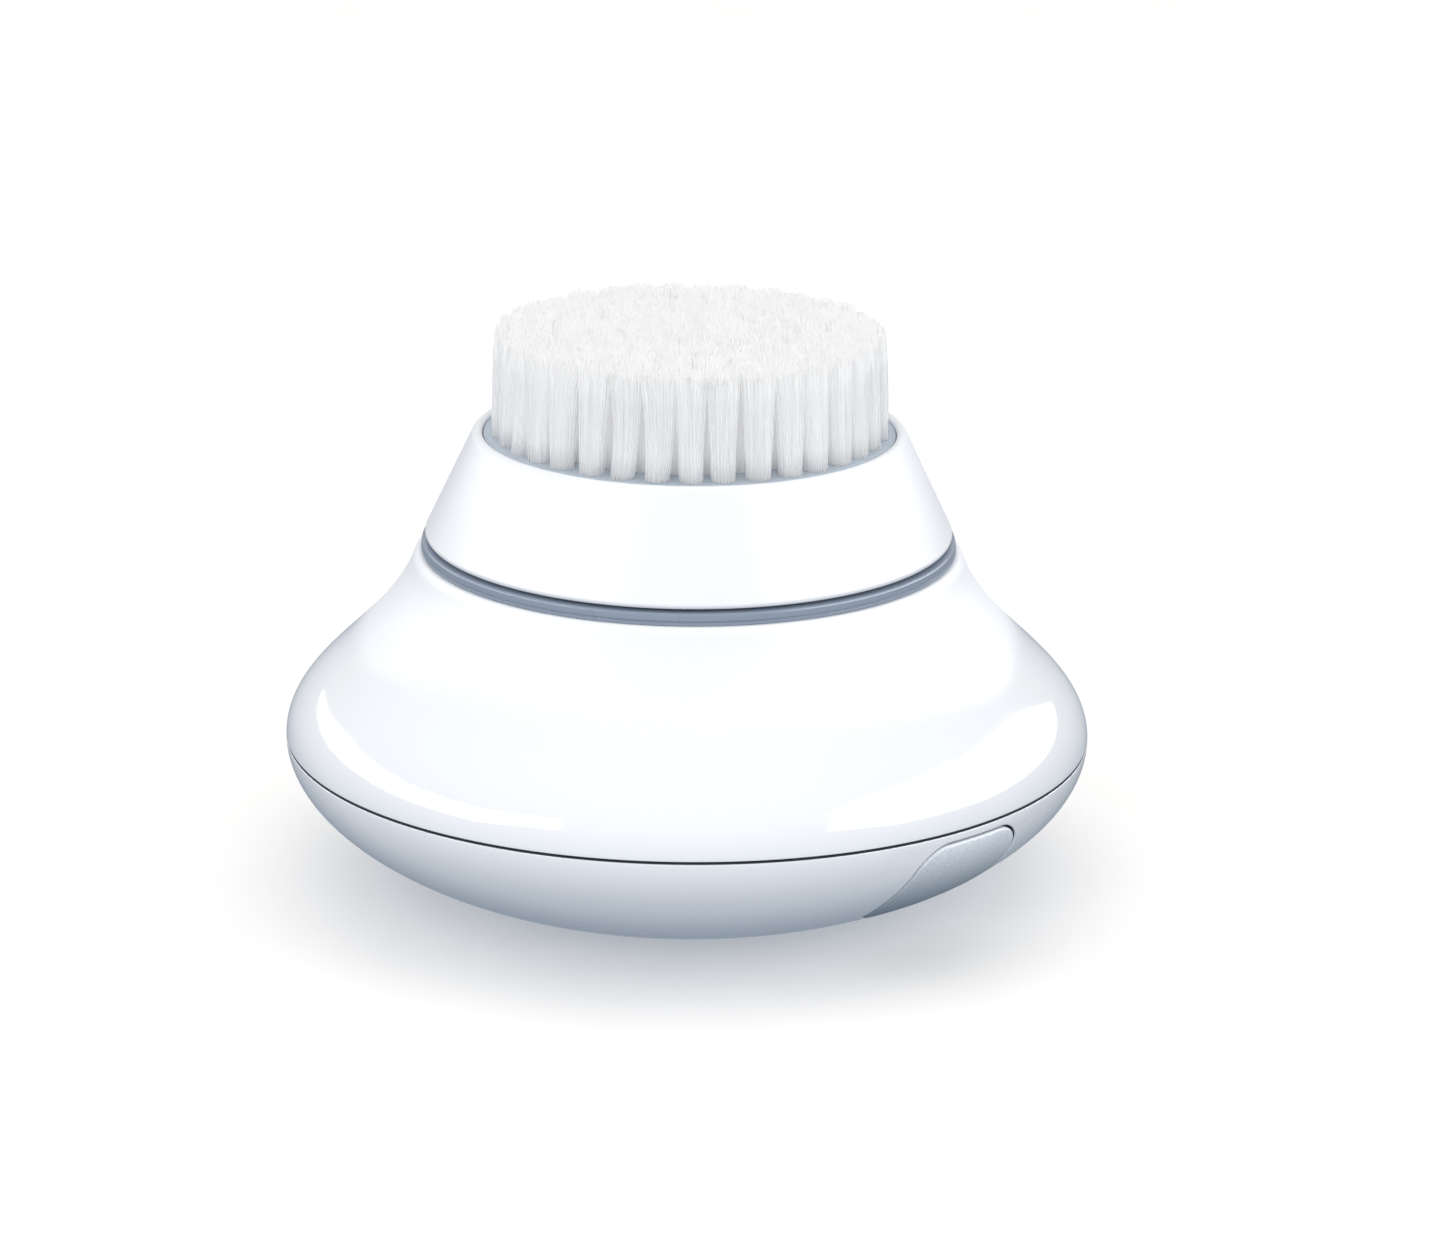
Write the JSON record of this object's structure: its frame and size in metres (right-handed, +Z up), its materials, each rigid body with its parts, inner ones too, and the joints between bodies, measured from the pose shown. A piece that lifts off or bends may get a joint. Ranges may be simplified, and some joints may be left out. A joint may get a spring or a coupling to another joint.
{
  "type": "facial cleansing brush",
  "caption": "Palm-sized facial cleansing brush: a round glossy two-shell body with a rotating tufted brush head on top and a side push-button.",
  "frame": {"origin": "centre of the flat underside, on the axis that the brush head turns about", "axes": "+Z up along the brush axis, from the underside to the bristle tips; -Y is the side that faces a viewer who has the push-button to the right"},
  "size_m": [0.086, 0.086, 0.0604],
  "materials": {
    "gloss_white": "glossy injection-moulded ABS",
    "collar_grey": "satin grey-blue",
    "plate_grey": "satin pale blue-grey",
    "pad_grey": "fine-grained soft-touch",
    "nylon": "fine white translucent bristles",
    "inner_plastic": "moulded dark grey",
    "acetal": "natural acetal",
    "silicone": "matt silicone",
    "steel": "plated steel",
    "brass": "machined brass",
    "bronze": "sintered bronze",
    "cell_jacket": "printed metal jacket",
    "board_green": "solder resist",
    "switch_black": "moulded black",
    "lead_black": "PVC insulation",
    "lead_red": "PVC insulation"
  },
  "bodies": {
    "housing": {"lower_shell": "gloss_white", "upper_shell": "gloss_white", "shell_gasket": "silicone", "collar_ring": "collar_grey", "shell_screw_1": "steel", "shell_screw_2": "steel", "shell_screw_3": "steel", "shell_screw_4": "steel", "button_boot": "silicone", "tact_switch": "switch_black", "switch_board": "board_green", "chassis": "inner_plastic", "battery_1": "cell_jacket", "battery_2": "cell_jacket", "bridge_contact": "steel", "bridge_spring": "steel", "positive_contact": "steel", "negative_contact": "steel", "negative_spring": "steel", "motor_end_cap": "inner_plastic", "motor_can": "steel", "motor_screw_1": "steel", "motor_screw_2": "steel", "gearbox_base": "inner_plastic", "idler_pin": "steel", "lower_bush": "bronze", "thrust_washer": "steel", "upper_bush": "bronze", "shaft_seal": "silicone", "gearbox_screw_1": "steel", "gearbox_screw_2": "steel", "gearbox_screw_3": "steel", "lead_negative": "lead_black", "lead_switched": "lead_black", "lead_positive": "lead_red"},
    "drive": {"output_gear": "acetal", "output_shaft": "steel", "drive_dog": "acetal", "grip_ring": "silicone"},
    "brush_head": {"brush_cone": "gloss_white", "tuft_plate": "plate_grey", "bristle_field": "nylon"},
    "idler": {"idler_gear": "acetal"},
    "rotor": {"motor_shaft": "steel", "motor_pinion": "brass"},
    "button": {"power_button": "pad_grey", "switch_plunger": "switch_black"},
    "door": {"battery_door": "gloss_white", "door_seal": "silicone"}
  },
  "joints": [
    {"name": "brush_spin", "type": "hinge", "parent": "housing", "child": "drive", "pos_m": [0, 0, 0], "axis": [0, 0, 1], "continuous": true},
    {"name": "idler_spin", "type": "hinge", "parent": "housing", "child": "idler", "pos_m": [0.0101, 0.0097, 0], "axis": [0, 0, 1], "continuous": true},
    {"name": "motor_spin", "type": "hinge", "parent": "housing", "child": "rotor", "pos_m": [0, 0.0152, 0], "axis": [0, 0, 1], "continuous": true},
    {"name": "brush_head_pull", "type": "slide", "parent": "drive", "child": "brush_head", "axis": [0, 0, 1], "range_m": [0, 0.025]},
    {"name": "button_press", "type": "slide", "parent": "housing", "child": "button", "axis": [-0.4816, 0.5022, 0.7182], "range_m": [0, 0.0003], "stiffness_N_per_m": 3000},
    {"name": "door_pull", "type": "slide", "parent": "housing", "child": "door", "axis": [0, 0, -1], "range_m": [0, 0.015]}
  ],
  "couplings": [
    {"joint": "idler_spin", "follows": "brush_spin", "ratio": -3.6667},
    {"joint": "motor_spin", "follows": "brush_spin", "ratio": 10.389}
  ]
}
